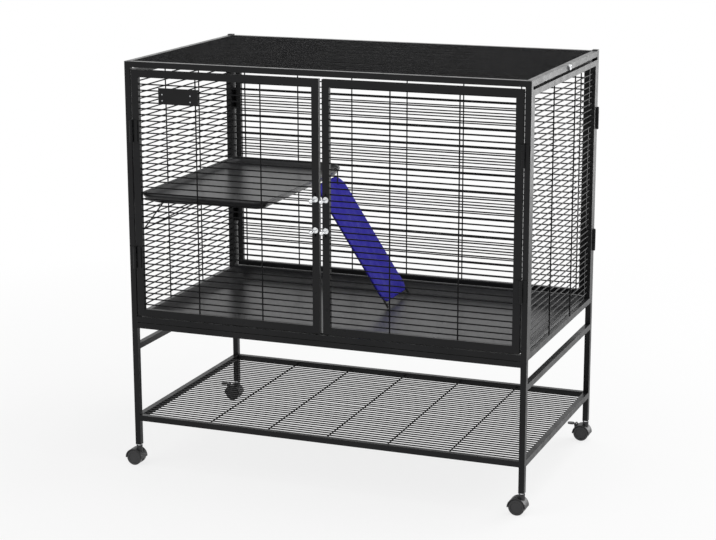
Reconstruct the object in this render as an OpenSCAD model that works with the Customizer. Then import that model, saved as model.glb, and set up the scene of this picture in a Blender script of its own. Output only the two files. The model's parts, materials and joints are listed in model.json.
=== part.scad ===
// Ferret cage on a wheeled stand. Welded wire panels in square steel tube, two hinged
// front doors that close with slide bolts, a raised platform with a covered ramp, a
// drop-in floor pan, an open storage shelf and four twin-wheel casters.
// Millimetres, +Z up, the doors face -Y and +X is to the right seen from the doors.

/* [Cage] */
// Width across the posts
cage_w = 914; // [860:2:1000]
// Depth across the posts
cage_d = 540; // [520:2:600]
// Height of the roof above the floor
cage_h = 918; // [910:1:960]
// Side of the square frame tube
tube = 12.7; // [12.5:0.1:13]
// Wall of the frame tube
tube_wall = 1.2; // [1:0.1:1.4]

/* [Stand] */
// Height of the top of the stand
stand_h = 335.7; // [325:0.1:340]
// Gap between the stand's top rails and the cage's base rails
rail_gap = 1.2; // [0.8:0.1:1.6]
// Height of the lower end of the legs
leg_foot = 49; // [49:0.5:52]
// Height of the underside of the storage shelf's rails
shelf_z = 105; // [90:1:160]
// Height of the underside of the stand's side rails
side_rail_z = 271; // [220:1:300]
// Spacing of the shelf's long wires
shelf_pitch = 14.3; // [13:0.1:16]

/* [Wire mesh] */
// Diameter of the welded wires
wire_d = 2.8; // [2.6:0.1:3]
// Spacing of the level wires of the walls and doors
wire_pitch = 13.3; // [12.5:0.1:15]

/* [Doors] */
// Width of the door's tube, seen from the front
door_tube = 16; // [15.5:0.1:16.5]
// Depth of the tube of the doors and the back panel
door_deep = 10; // [9.5:0.1:11]
// Width of the back panel's tube, seen from the rear
back_tube = 12.7; // [12.5:0.1:13]
// Wall of the door's tube
door_wall = 1.5; // [1.2:0.1:1.8]
// Gap between the two doors
door_gap = 7.6; // [7:0.1:9]
// Gap between a door and its post
post_gap = 3.3; // [3:0.1:4]
// Gap under the doors
sill_gap = 2.6; // [2.4:0.1:5]
// Gap over the doors
head_gap = 5; // [4.5:0.1:8]

/* [Latches] */
// Throw of a slide bolt
bolt_throw = 12; // [11:0.5:12]
// Height of the upper pair of knobs
upper_knob_z = 645; // [630:1:700]
// Height of the lower pair of knobs
lower_knob_z = 578; // [530:1:600]
// Diameter of a knob's ball
knob_d = 10.4; // [9:0.1:12]

/* [Platform and ramp] */
// Height of the platform's rim
platform_top = 625; // [600:1:650]
// Depth of the platform's tray
platform_deep = 18; // [16:1:22]
// Length of the ramp's cover
ramp_len = 312; // [300:1:312]
// Width of the ramp's cover
ramp_w = 150; // [120:1:160]
// Slope of the ramp
ramp_slope = 57; // [57:0.5:60]

/* [Casters] */
// Diameter of the wheels
wheel_d = 35; // [34:0.5:35]
// Distance from the swivel to the axle
trail = 8.5; // [8:0.1:9]

/* [Hidden] */

$fn = 48;
e = 1;                                   // overrun of a cut past the face it leaves
black = "#26272a";
grey = "#55585c";
chrome = "silver";
plastic = "#3b3d41";

// Frame
half_w = cage_w / 2;
half_d = cage_d / 2;
post_x = half_w - tube / 2;              // centre of a post or leg
post_y = half_d - tube / 2;
in_x = half_w - tube;                    // inner face of a post or leg
in_y = half_d - tube;
bore = tube - 2 * tube_wall;
roof_z = cage_h - tube;                  // underside of the roof rails
side_top_z = roof_z - 19.4;              // underside of a side panel's top rail
stub_h = 30;                             // a leg's spigot inside its post
cap_z = cage_h - 1;                      // top end of the post tubes
bolt_y = 12;                             // roof bolt's place along a side rail

// Doors and back panel
door_z0 = stand_h + tube + sill_gap;
door_z1 = roof_z - head_gap;
door_in = door_gap / 2;                  // free edge of a door
door_out = in_x - post_gap;              // hinged edge of a door
door_cx = (door_in + door_out) / 2;
door_y = half_d - door_deep / 2;         // depth of a door's centre plane
back_out = in_x - 4.8;                   // outer edge of the back panel
field_z0 = door_z0 + door_tube;
field_z1 = door_z1 - door_tube;
mesh_z0 = field_z0 + 10;                 // first level wire of a door
door_rows = floor((field_z1 - 6 - mesh_z0) / wire_pitch) + 1;
side_z0 = mesh_z0 - wire_pitch;          // first level wire of a side panel
side_rows = floor((side_top_z - 6 - side_z0) / wire_pitch) + 1;
wire_flat = wire_d / 2 * cos(22.5);      // centre to flat of an eight-sided wire
weld = 2.2;                              // offset of two crossing wires, welded into each other

// Hinges: the axis stands in front of the door's outer edge
hinge_x = in_x - post_gap / 2;
hinge_y = half_d + 4.5;
barrel_r = 4;
pin_r = 2;
knuckle = 15.7;
hinge_len = 48;
hinge_zs = [door_z0 + 109, door_z1 - 158.3];
leaf_t = 2;

// Rear hinges stand on the posts' outer sides
rear_r = 2.8;
rear_pin_r = 1.5;
rear_x = half_w + rear_r;
rear_y = half_d - 7.7;
strap_x = 428;                           // end of the strap on the back panel's stile

// Slide bolts, on the centre line of the doors' free stiles
latch_x = door_in + door_tube / 2;
latch_y = door_y;
rod_r = 2.5;
stem_r = 1.7;
knob_y = half_d + 24;
guide = 10;                              // solid end of a stile that guides its bolt
eye_r = 3.3;                             // hole in a rail that takes a bolt
boss_deep = 2;                           // depth of a knob's stem in its rod

// Platform, its rim and the ramp's hinge line on the rim
plat_x0 = -443;
plat_x1 = -139;
plat_y0 = -252;
plat_y1 = 250;
rim_x = plat_x1 - 2.6;
rim_z = platform_top - 2.6;
ramp_top = [-148, platform_top - 20.5];  // x and z of the cover's upper end
ramp_y0 = 58;
ramp_y1 = ramp_y0 + ramp_w;
ramp_wire = 1.6;
hook_r = 4.6;
hook_wire = 1.5;
foot_r = 2.6;
side_wires = [ramp_y0 + 4.5, ramp_y1 - 4.5];
hook_ys = [ramp_y0 + 40, ramp_y1 - 40];  // both on the straight part of the rim
cover_t = 0.8;
cover_gap = 0.45;                        // cloth to ladder
bracket_r = 1.5;

// Pan
pan_floor = stand_h - 5.7;
pan_x = in_x + 3.2;
pan_y = in_y + 2.2;
pan_r = 28;

// Casters
axle_z = wheel_d / 2;
hood_r = wheel_d / 2 + 3;
hood_w = 28;
stem_top = 75;
swivel_r = 4;
run = 0.05;                              // radial clearance of a running fit
brake_x = -14.5;                         // brake pivot from the axle
brake_z = 36.5;
brake_tip = -34.5;

// The origin lies on the floor under the middle of the whole object, with the
// casters, their brake levers and the knobs included
origin_x = ((post_x + trail - brake_tip) - (post_x - trail + hood_r)) / 2;
origin_y = ((knob_y + knob_d / 2) - (post_y + hood_w / 2)) / 2;

// ---------------------------------------------------------------- building blocks

module placed() translate([origin_x, origin_y, 0]) children();

module box(x, y, z) translate([x[0], y[0], z[0]])
    cube([x[1] - x[0], y[1] - y[0], z[1] - z[0]]);

// A part drawn on the right side, and its mirror image on the left
module on_side(s) if (s > 0) children(); else mirror([1, 0, 0]) children();

module square_tube_x(x, side = tube, wall = tube_wall) difference() {
    box(x, [-side / 2, side / 2], [-side / 2, side / 2]);
    box([x[0] - e, x[1] + e], [wall - side / 2, side / 2 - wall],
        [wall - side / 2, side / 2 - wall]);
}

// Straight round wire between two points
module rod(a, b, r) {
    v = b - a;
    translate(a) rotate([0, acos(v[2] / norm(v)), atan2(v[1], v[0])])
        cylinder(r = r, h = norm(v));
}

// Round wire through several points, with a rounded elbow at each bend
module bent_wire(pts, r) {
    for (i = [1 : len(pts) - 1]) rod(pts[i - 1], pts[i], r);
    for (i = [1 : len(pts) - 2]) translate(pts[i]) sphere(r = r + 0.15);
}

// Eight-sided welded wire along X with a flat towards each neighbour
module mesh_wire(length) rotate([0, 90, 0]) rotate(22.5)
    cylinder(d = wire_d, h = length, center = true, $fn = 8);

// Welded panel in the XZ plane: long wires at each height, cross wires behind them
module mesh(length, heights, cross_xs, cross_z) {
    for (z = heights) translate([0, 0, z]) mesh_wire(length);
    for (x = cross_xs) translate([x, weld, (cross_z[0] + cross_z[1]) / 2])
        rotate([0, 90, 0]) mesh_wire(cross_z[1] - cross_z[0]);
}

function rows(z0, n, pitch) = [for (i = [0 : n - 1]) z0 + pitch * i];
function centred(n, pitch) = [for (i = [0 : n - 1]) pitch * (i - (n - 1) / 2)];

// Hollow bars of one welded frame: outsides first, then one joined bore
module welded_frame(outsides, bores) difference() {
    for (b = outsides) box(b[0], b[1], b[2]);
    for (b = bores) box(b[0], b[1], b[2]);
}

function span(c, w) = [c - w / 2, c + w / 2];

// ---------------------------------------------------------------- stand

// Two legs with their spigots, the side rail and the shelf's side rail
module stand_frame(s) placed() color(black) on_side(s) {
    legs = [for (y = [-post_y, post_y])
        [span(post_x, tube), span(y, tube), [leg_foot, stand_h]]];
    spigots = [for (y = [-post_y, post_y])
        [span(post_x, bore - 0.4), span(y, bore - 0.4), [stand_h - 1, stand_h + stub_h]]];
    rails = [for (z = [side_rail_z, shelf_z])
        [span(post_x, tube), [-in_y, in_y], [z, z + tube]]];
    leg_bores = [for (y = [-post_y, post_y])
        [span(post_x, bore), span(y, bore), [leg_foot - e, stand_h - 4]]];
    rail_bores = [for (z = [side_rail_z, shelf_z])
        [span(post_x, bore), [-post_y, post_y], [z + tube_wall, z + tube - tube_wall]]];
    welded_frame(concat(legs, spigots, rails), concat(leg_bores, rail_bores));
}

module cross_rail(y, z) placed() color(black) translate([0, y, z + tube / 2])
    square_tube_x([-in_x, in_x]);

module shelf_mesh() placed() color(black)
    translate([0, 0, shelf_z + 8]) rotate([-90, 0, 0])
        mesh(2 * in_x, centred(floor((2 * in_y - 20) / shelf_pitch), shelf_pitch),
            centred(5, 141), [-in_y, in_y]);

// Moulded sockets pressed into the legs, and the caster stems that stand in them
module at_legs() for (x = [-post_x, post_x], y = [-post_y, post_y])
    translate([x, y, 0]) children();

module leg_sleeves() placed() color(plastic) at_legs() difference() {
    union() {
        box(span(0, tube), span(0, tube), [leg_foot - 1.5, leg_foot]);
        box(span(0, bore), span(0, bore), [leg_foot, stem_top + 4]);
    }
    translate([0, 0, leg_foot - 2.5]) cylinder(r = swivel_r, h = stem_top - leg_foot + 2.5);
}

module caster_stems() placed() color(chrome) at_legs() {
    translate([0, 0, 37.2]) cylinder(r = swivel_r, h = stem_top - 37.2);
    translate([0, 0, leg_foot - 3.5]) cylinder(r = 5.2, h = 2);
}

// ---------------------------------------------------------------- casters

module along_y(h) rotate([90, 0, 0]) translate([0, 0, -h / 2]) children();

// Hood over a pair of wheels, drawn round the axle: a drum with two open wells, a web
// between them that carries the axle, and a boss that turns on the stem
module hood(brake = false) color(black) difference() {
    union() {
        difference() {
            union() {
                along_y(hood_w) cylinder(r = hood_r, h = hood_w);
                translate([trail, 0, 10.5]) cylinder(r = 6.8, h = 45.2 - axle_z - 10.5);
                if (brake) for (y = [-5.5, 5.5]) translate([0, y, 0]) {
                    along_y(1.8) linear_extrude(1.8) polygon([[brake_x - 3.2, brake_z - axle_z],
                        [brake_x + 3.2, brake_z - axle_z], [-6, 16.5], [-16, 9]]);
                    translate([brake_x, 0, brake_z - axle_z]) along_y(1.8)
                        cylinder(r = 3.2, h = 1.8);
                }
            }
            for (s = [-1, 1]) translate([0, s * (2.6 + hood_w / 2), 0])
                along_y(hood_w) cylinder(r = hood_r - 2.2, h = hood_w);
            translate([0, 0, -hood_r - 1]) cube([60, 60, 2 * hood_r], center = true);
        }
        along_y(5.2) cylinder(r = 6, h = 5.2);
    }
    along_y(8) cylinder(r = 2.5 + run, h = 8);
    translate([trail, 0, 37 - axle_z]) cylinder(r = swivel_r + run, h = 10);
    if (brake) translate([brake_x, 0, brake_z - axle_z]) along_y(16)
        cylinder(r = 1.4 + run, h = 16);
}

// Both wheels on their axle: tread with chamfered edges, dished outer faces
module wheel_pair() color(plastic) rotate([90, 0, 0]) {
    r = wheel_d / 2;
    half = [[0, 12.2], [11.8, 12.2], [12.6, 13.4], [r - 0.8, 13.4], [r, 12.6], [r, 3.8],
        [r - 0.8, 3], [2.5, 3]];
    rotate_extrude() polygon(concat(half,
        [for (i = [len(half) - 1 : -1 : 0]) [half[i][0], -half[i][1]]]));
}

// Brake lever on its trunnions, with a foot pad that points away from the stem
module brake_lever() color(plastic) translate([brake_x, 0, brake_z - axle_z]) {
    reach = brake_x - brake_tip;
    along_y(8.4) cylinder(r = 2.8, h = 8.4);
    along_y(12.4) cylinder(r = 1.4, h = 12.4);
    box([6 - reach, 0], [-4.2, 4.2], [-0.9, 1.5]);
    translate([6 - reach, 0, -0.9]) cylinder(r = 6, h = 3.4);
    box([6 - reach, -6.2], [-6, 6], [-0.9, 2.5]);
}

module at_caster(sx, sy) placed() translate([sx * post_x - trail, sy * post_y, axle_z])
    children();

// ---------------------------------------------------------------- cage body

// Side panel with its own stiles beside the posts
module side_frame(s) placed() color(black) on_side(s) {
    posts = [for (y = [-post_y, post_y])
        [span(post_x, tube), span(y, tube), [stand_h, cap_z]]];
    stiles = [for (k = [-1, 1])
        [span(post_x, tube), span(k * (in_y - tube / 2), tube), [stand_h + tube, side_top_z]]];
    rails = [for (z = [stand_h, side_top_z])
        [span(post_x, tube), [-in_y, in_y], [z, z + tube]]];
    post_bores = [for (y = [-post_y, post_y])
        [span(post_x, bore), span(y, bore), [stand_h - e, cap_z + e]]];
    rail_bores = [for (z = [stand_h, side_top_z])
        [span(post_x, bore), [-post_y, post_y], [z + tube_wall, z + tube - tube_wall]]];
    stile_bores = [for (k = [-1, 1])
        [span(post_x, bore), span(k * (in_y - tube / 2), bore),
            [stand_h + tube / 2, side_top_z + tube / 2]]];
    welded_frame(concat(posts, stiles, rails), concat(post_bores, stile_bores, rail_bores));
}

// Level wires between the stiles, two upright wires outside them
module side_mesh(s) placed() color(black) on_side(s) translate([post_x, 0, 0])
    rotate([0, 0, -90])
        mesh(2 * (in_y - tube), rows(side_z0, side_rows, wire_pitch), [-85, 85],
            [stand_h + tube, side_top_z]);

module front_base_rail() placed() color(black) difference() {
    translate([0, -post_y, stand_h + tube / 2]) square_tube_x([-in_x, in_x]);
    for (s = [-1, 1]) translate([s * latch_x, -latch_y, stand_h + tube / 2])
        cylinder(r = eye_r, h = tube);
}

// Four roof tubes between the posts, held together by the mesh that is welded in
module roof_rails() placed() color(black) {
    for (s = [-1, 1]) translate([0, s * post_y, roof_z + tube / 2]) difference() {
        square_tube_x([-in_x, in_x]);
        if (s < 0) for (k = [-1, 1]) translate([k * latch_x, post_y - latch_y, -tube])
            cylinder(r = eye_r, h = tube);
    }
    for (s = [-1, 1]) translate([s * post_x, 0, roof_z + tube / 2]) difference() {
        rotate(90) square_tube_x([-in_y, in_y]);
        translate([s * tube / 2, bolt_y, 0]) rotate([0, 90, 0])
            cylinder(r = 3.1, h = 2 * (tube_wall + 1), center = true);
    }
}
module roof_mesh() placed() color(black)
    translate([0, 0, cage_h - 2]) rotate([-90, 0, 0])
        mesh(2 * in_x, centred(2 * floor((in_y - 4) / wire_pitch) + 1, wire_pitch),
            centred(5, 141), [-in_y, in_y]);

// Socket screws in the roof's side rails, and the weld nuts that take them
module at_roof_bolts() for (s = [-1, 1]) on_side(s)
    translate([half_w, bolt_y, roof_z + tube / 2]) rotate([0, 90, 0]) children();

module roof_bolts() placed() color(chrome) at_roof_bolts() difference() {
    union() {
        cylinder(r = 6.4, h = 3.6);
        translate([0, 0, 3.6]) cylinder(r1 = 6.4, r2 = 5.2, h = 1.4);
        translate([0, 0, -7]) cylinder(r = 3, h = 8);
    }
    translate([0, 0, 2]) cylinder(r = 3.4, h = 4, $fn = 6);
}

module roof_nuts() placed() color(grey) at_roof_bolts() difference() {
    translate([0, 0, -tube_wall - 5]) cylinder(d = bore - 0.2, h = 5, $fn = 6);
    translate([0, 0, -tube_wall - 6]) cylinder(r = 3 + run, h = 7);
}

// Plugs in the post tops: flush in front, standing proud at the rear
module post_caps() placed() color(plastic) for (x = [-post_x, post_x], s = [-1, 1])
    translate([x, s * post_y, 0]) {
        box(span(0, tube), span(0, tube), [cap_z, cage_h + (s > 0 ? 2.5 : 0)]);
        box(span(0, bore), span(0, bore), [cap_z - 8, cap_z]);
    }

// Back panel, one wide frame in the plane of the rear posts
module back_frame() placed() color(black) {
    y = span(door_y, door_deep);
    yb = span(door_y, door_deep - 2 * door_wall);
    x1 = back_out;
    t = back_tube;
    w = door_wall;
    stiles = [for (s = [-1, 1]) [span(s * (x1 - t / 2), t), y, [door_z0, door_z1]]];
    rails = [for (z = [door_z0, door_z1 - t]) [[t - x1, x1 - t], y, [z, z + t]]];
    stile_bores = [for (s = [-1, 1])
        [span(s * (x1 - t / 2), t - 2 * w), yb, [door_z0 - e, door_z1 + e]]];
    rail_bores = [for (z = [door_z0, door_z1 - t])
        [[t / 2 - x1, x1 - t / 2], yb, [z + w, z + t - w]]];
    welded_frame(concat(stiles, rails), concat(stile_bores, rail_bores));
}

module back_mesh() placed() color(black) translate([0, door_y, 0])
    mesh(2 * (back_out - back_tube), rows(mesh_z0, door_rows, wire_pitch),
        centred(7, 139.4), [door_z0 + back_tube, door_z1 - back_tube]);

// Four corner pieces span a level of the pan; insets are measured from the flange's
// edge, and the sloping walls have a wider corner radius than the flange
module pan_level(inset0, inset1, z0, z1, lean = 14) hull()
    for (x = [-1, 1], y = [-1, 1])
        translate([x * (pan_x - pan_r - lean), y * (pan_y - pan_r - lean), z0])
            cylinder(r1 = pan_r + lean - inset0, r2 = pan_r + lean - inset1,
                h = z1 - z0, $fn = 64);

// Tray with a flange that lies on the base rails and the side panels' lower rails
module pan() placed() color(plastic) {
    top = stand_h + tube;
    difference() {
        union() {
            pan_level(34, 4, pan_floor - 2.5, top);
            pan_level(0, 0, top, top + 2, 0);
        }
        pan_level(33.4, 6, pan_floor, top + 0.2);
        pan_level(6, 5.8, top + 0.19, top + 3);
    }
}

// ---------------------------------------------------------------- platform

// One hull over the tray's corners, through [inset, height] levels going up
module tray_level(levels) hull() for (c = [[plat_x0, plat_y0, 28], [plat_x1, plat_y0, 28],
        [plat_x0, plat_y1, 28], [plat_x1, plat_y1, 75]])
    translate([c[0] + (c[0] == plat_x0 ? c[2] : -c[2]),
            c[1] + (c[1] == plat_y0 ? c[2] : -c[2]), 0])
        for (i = [1 : len(levels) - 1]) translate([0, 0, levels[i - 1][1]])
            cylinder(r1 = c[2] - levels[i - 1][0], r2 = c[2] - levels[i][0],
                h = levels[i][1] - levels[i - 1][1], $fn = 64);

// Shallow tray with a rolled rim; the rear corner beside the ramp is cut rounder
module platform() placed() color(plastic) {
    z0 = platform_top - platform_deep;
    neck = platform_top - 5.2;
    difference() {
        union() {
            tray_level([[12, z0], [1.5, neck]]);
            tray_level([[1.5, neck], [0, rim_z], [1.6, platform_top]]);
        }
        tray_level([[14.5, z0 + 2.5], [4.4, neck + 0.01]]);
        tray_level([[4.4, neck], [5.2, rim_z + 0.01]]);
        tray_level([[5.2, rim_z], [3.5, platform_top + 0.16]]);
    }
}

// Wire bracket: an arm under the tray and two struts, hooked over the side panel's wires
module platform_brackets() placed() color(chrome) for (s = [-1, 1]) {
    r = bracket_r;
    lower = mesh_z0 + 12 * wire_pitch;
    upper = mesh_z0 + 17 * wire_pitch;
    grip = 3;
    arm_z = platform_top - platform_deep - r;
    y0 = s * 218;
    y1 = s * (s < 0 ? 240 : 236);
    y2 = s * 232;
    foot = [grip - post_x, y0, lower];
    near = [-387, y1, arm_z];
    far = [-318, y2, arm_z];
    rise = asin((arm_z - upper) / grip);
    head = [grip * cos(rise) - post_x, y0, arm_z];
    bent_wire([head, near, far, foot], r);
    rod(foot, near, r);
    translate(head) sphere(r = r + 0.15);
    translate(foot) sphere(r = r + 0.15);
    for (h = [[lower, 0], [upper, rise]]) translate([-post_x, y0, h[0]]) rotate([90, 0, 0])
        rotate([0, 0, h[1]]) rotate_extrude(angle = 180 - h[1]) translate([grip, 0])
            circle(r = r, $fn = 24);
}

// ---------------------------------------------------------------- ramp

// Places a slope drawn along +X so that it runs down from the cover's upper end
module on_slope() placed() translate([ramp_top[0], 0, ramp_top[1]])
    rotate([0, ramp_slope, 0]) children();

drop = (hook_r + rim_x - ramp_top[0]) / cos(ramp_slope);  // where the hooks leave the slope
tail = (ramp_top[1] - pan_floor - foot_r - 0.6) / sin(ramp_slope);

// Ladder of wires: side wires with rungs, and two hooks on the top rung that turn round
// the platform's rim
module ramp_frame() color(chrome) {
    top_rung = ramp_wire + 0.1;
    first_rung = drop + 21;
    rung_step = 26.5;
    on_slope() {
        for (y = side_wires) {
            rod([first_rung, y, 0], [tail, y, 0], ramp_wire);
            translate([first_rung, y, 0]) sphere(r = top_rung + 0.2);
        }
        rod([first_rung, side_wires[0], 0], [first_rung, side_wires[1], 0], top_rung);
        for (i = [1 : 10]) let (x = first_rung + i * rung_step)
            rod([x, side_wires[0], 0], [x, side_wires[1], 0], 1.2);
        for (y = hook_ys) {
            rod([drop, y, 0], [first_rung, y, 0], hook_wire);
            translate([drop, y, 0]) sphere(r = hook_wire + 0.2);
        }
    }
    placed() for (y = hook_ys) translate([rim_x, y, 0]) {
        rod([hook_r, 0, ramp_top[1] - drop * sin(ramp_slope)], [hook_r, 0, rim_z], hook_wire);
        translate([hook_r, 0, rim_z]) sphere(r = hook_wire + 0.15);
        translate([0, 0, rim_z]) rotate([90, 0, 0]) rotate_extrude(angle = 130)
            translate([hook_r, 0]) circle(r = hook_wire, $fn = 24);
    }
}

// Outline of the cover in the plane of the slope, with wide curves at the head
module cover_outline(inset) {
    x0 = inset;
    x1 = ramp_len - inset;
    y0 = ramp_y0 + inset;
    y1 = ramp_y1 - inset;
    head = 35 - inset;
    toe = 22 - inset;
    for (y = [y0 + head, y1 - head]) translate([x0 + head, y]) circle(r = head);
    for (y = [y0 + toe, y1 - toe]) translate([x1 - toe, y]) circle(r = toe);
    translate([x0 + head, y0]) square([x1 - toe - x0 - head, y1 - y0]);
    translate([x0, y0 + head]) square([head + 1, y1 - y0 - 2 * head]);
    translate([x1 - toe - 1, y0 + toe]) square([toe + 1, y1 - y0 - 2 * toe]);
}

// Fabric sleeve drawn over the ladder, open in a slit at the toe and at the head, where
// two slots let the hooks out
module ramp_cover() color("#3a2ea5") on_slope() difference() {
    hollow = ramp_wire + cover_gap;
    t = hollow + cover_t;
    translate([0, 0, -t]) linear_extrude(2 * t) cover_outline(0);
    translate([0, 0, -hollow]) linear_extrude(2 * hollow) cover_outline(cover_t);
    box([ramp_len - 14, ramp_len + e], [side_wires[0] - 2.2, side_wires[1] + 2.2],
        [-hollow, hollow]);
    box([-e, 12], [hook_ys[0], hook_ys[1]], [-hollow, hollow]);
    for (y = hook_ys) box([-e, drop + 4], [y - 2.2, y + 2.2], [-hollow, t + e]);
}

// Soft sleeves over the ends of the side wires
module ramp_feet() color(black) on_slope() for (y = side_wires) difference() {
    union() {
        translate([tail, y, 0]) sphere(r = foot_r);
        rod([ramp_len - 4, y, 0], [tail, y, 0], foot_r - 0.1);
    }
    rod([ramp_len - 5, y, 0], [tail, y, 0], ramp_wire);
}

// ---------------------------------------------------------------- doors

// Door frame: the free stile guides the two slide bolts and is slotted for their knobs
module door_frame(s) placed() color(black) on_side(s) {
    y = span(-door_y, door_deep);
    yb = span(-door_y, door_deep - 2 * door_wall);
    t = door_tube;
    w = door_wall;
    difference() {
        welded_frame(
            [for (x = [door_in, door_out - t]) [[x, x + t], y, [door_z0, door_z1]],
             for (z = [door_z0, door_z1 - t]) [[door_in + t, door_out - t], y, [z, z + t]]],
            [[[door_in + w, door_in + t - w], yb, [door_z0 + guide, door_z1 - guide]],
             [[door_out - t + w, door_out - w], yb, [door_z0 + w, door_z1 - w]],
             for (z = [door_z0 + guide, door_z1 - t + w])
                 [[door_in + t / 2, door_out - t / 2], yb, [z, z + t - w - guide]],
             for (z = [door_z0, door_z1 - t])
                 [[door_in + t, door_out - t / 2], yb, [z + w, z + t - w]]]);
        translate([latch_x, -latch_y, door_z0 - e])
            cylinder(r = rod_r + run, h = door_z1 - door_z0 + 2 * e);
        for (z = [[upper_knob_z, upper_knob_z + bolt_throw],
                [lower_knob_z - bolt_throw, lower_knob_z]])
            translate([latch_x, -half_d, 0]) {
                slot = stem_r + 0.3;
                box([-slot, slot], [-e, w + e], z);
                for (k = z) translate([0, w / 2, k]) along_y(w + 2 * e)
                    cylinder(r = slot, h = w + 2 * e);
            }
    }
}

// Level wires of a door with two upright wires behind them
module door_mesh(s) placed() color(black) translate([s * door_cx, -door_y, 0])
    mesh(door_out - door_in - 2 * door_tube, rows(mesh_z0, door_rows, wire_pitch),
        [-69.4, 82.3], [field_z0, field_z1]);

// Blank plate on the left door, held to the level wires by riveted clips
plate_x = [-377.5, -282.5];
plate_z = [828, 863];
plate_front = -door_y - wire_flat - 2;
clip_xs = [plate_x[0] + 9, plate_x[1] - 19];
clip_zs = [for (i = [34, 35]) mesh_z0 + (i + 0.5) * wire_pitch];

module at_clips() for (x = clip_xs, z = clip_zs) translate([x, 0, z]) children();

module name_plate() placed() color(black) difference() {
    box(plate_x, [plate_front, plate_front + 2], plate_z);
    at_clips() translate([0, plate_front + 1, 0]) along_y(4) cylinder(r = 1.6, h = 4);
}

module plate_clips() placed() color(grey) at_clips() {
    back = -door_y + wire_flat;
    translate([0, (plate_front + back) / 2, 0]) along_y(back - plate_front)
        cylinder(r = 1.6, h = back - plate_front);
    translate([0, back + 0.5, 0]) along_y(1) cylinder(r = 6.5, h = 1);
}

// ---------------------------------------------------------------- hinges

// Leaf and two outer knuckles on the post, drawn from the axis of the right hinge
module post_leaf() difference() {
    union() {
        for (z = [0, hinge_len - knuckle]) translate([0, 0, z])
            cylinder(r = barrel_r, h = knuckle);
        box([0, 12.6], [hinge_y - half_d - leaf_t, hinge_y - half_d], [0, hinge_len]);
    }
    box([-e, 4.6], [-barrel_r - e, hinge_y - half_d + e], [knuckle, hinge_len - knuckle]);
    translate([0, 0, -e]) cylinder(r = pin_r, h = hinge_len + 2 * e);
}

// Leaf and middle knuckle on the door or back panel
module door_leaf() difference() {
    union() {
        translate([0, 0, knuckle + 0.3]) cylinder(r = barrel_r, h = hinge_len - 2 * knuckle - 0.6);
        box([-13.6, 0], [hinge_y - half_d - leaf_t, hinge_y - half_d], [0, hinge_len]);
    }
    for (z = [[-e, knuckle + 0.3], [hinge_len - knuckle - 0.3, hinge_len + e]])
        box([-4.6, e], [-barrel_r - e, hinge_y - half_d + e], z);
    translate([0, 0, -e]) cylinder(r = pin_r + run, h = hinge_len + 2 * e);
}

module hinge_pin() {
    translate([0, 0, -0.6]) cylinder(r = pin_r, h = hinge_len + 0.6);
    translate([0, 0, hinge_len]) cylinder(r = 2.9, h = 1.4);
}

module at_hinges(sides) for (s = sides, z = hinge_zs) on_side(s)
    translate([hinge_x, -hinge_y, z]) children();

module at_rear_hinges() for (s = [-1, 1], z = hinge_zs) on_side(s)
    translate([rear_x, rear_y, z]) children();

// Outer knuckles on a narrow leaf along the post's outer side
module rear_post_leaf() difference() {
    union() {
        for (z = [0, hinge_len - knuckle]) translate([0, 0, z])
            cylinder(r = rear_r, h = knuckle);
        box([-rear_r, leaf_t - rear_r], [-4.7, 0], [0, hinge_len]);
    }
    box([-rear_r - e, rear_r + e], [-3.1, rear_r + e], [knuckle, hinge_len - knuckle]);
    translate([0, 0, -e]) cylinder(r = rear_pin_r, h = hinge_len + 2 * e);
}

// Middle knuckle on a strap that wraps round the post's rear corner to the back panel
module rear_panel_leaf() difference() {
    rear_face = half_d - rear_y;
    union() {
        translate([0, 0, knuckle + 0.3])
            cylinder(r = rear_r, h = hinge_len - 2 * knuckle - 0.6);
        box([-rear_r, leaf_t - rear_r], [0, rear_face + leaf_t], [0, hinge_len]);
        box([strap_x - rear_x, leaf_t - rear_r], [rear_face, rear_face + leaf_t],
            [0, hinge_len]);
    }
    for (z = [[-e, knuckle + 0.3], [hinge_len - knuckle - 0.3, hinge_len + e]])
        box([-rear_r - e, rear_r + e], [-e, 3.1], z);
    translate([0, 0, -e]) cylinder(r = rear_pin_r + run, h = hinge_len + 2 * e);
}

// Pin with a coned head at each end
module rear_pin() {
    cylinder(r = rear_pin_r, h = hinge_len);
    translate([0, 0, hinge_len]) cylinder(r1 = rear_r - 0.2, r2 = rear_pin_r, h = 1.6);
    translate([0, 0, -1.6]) cylinder(r1 = rear_pin_r, r2 = rear_r - 0.2, h = 1.6);
}

// ---------------------------------------------------------------- slide bolts

module latch_rod(s, upper) placed() color(chrome) on_side(s) {
    knob = upper ? upper_knob_z : lower_knob_z;
    z = upper ? [knob - 8, door_z1 - 0.5] : [door_z0 + 1, knob + 8];
    translate([latch_x, -latch_y, 0]) difference() {
        translate([0, 0, z[0]]) cylinder(r = rod_r, h = z[1] - z[0]);
        translate([0, -rod_r, knob]) along_y(2 * boss_deep)
            cylinder(r = stem_r, h = 2 * boss_deep);
    }
}

// Ball on a stem with a dished washer that covers the slot
module latch_knob(s, upper) placed() color(chrome) on_side(s)
    translate([latch_x, 0, upper ? upper_knob_z : lower_knob_z]) {
        root = latch_y + rod_r - boss_deep;
        translate([0, -knob_y, 0]) sphere(d = knob_d);
        translate([0, -(knob_y + root) / 2, 0]) along_y(knob_y - root)
            cylinder(r = stem_r, h = knob_y - root);
        translate([0, -half_d - 0.3, 0]) rotate([90, 0, 0]) rotate_extrude() polygon(
            [[stem_r - 0.5, 0], [6.5, 0], [6.5, 1.6], [5.9, 2.2], [5.2, 2.2], [4.4, 0.9],
             [stem_r - 0.5, 0.9]]);
    }

// ---------------------------------------------------------------- nodes

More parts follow.
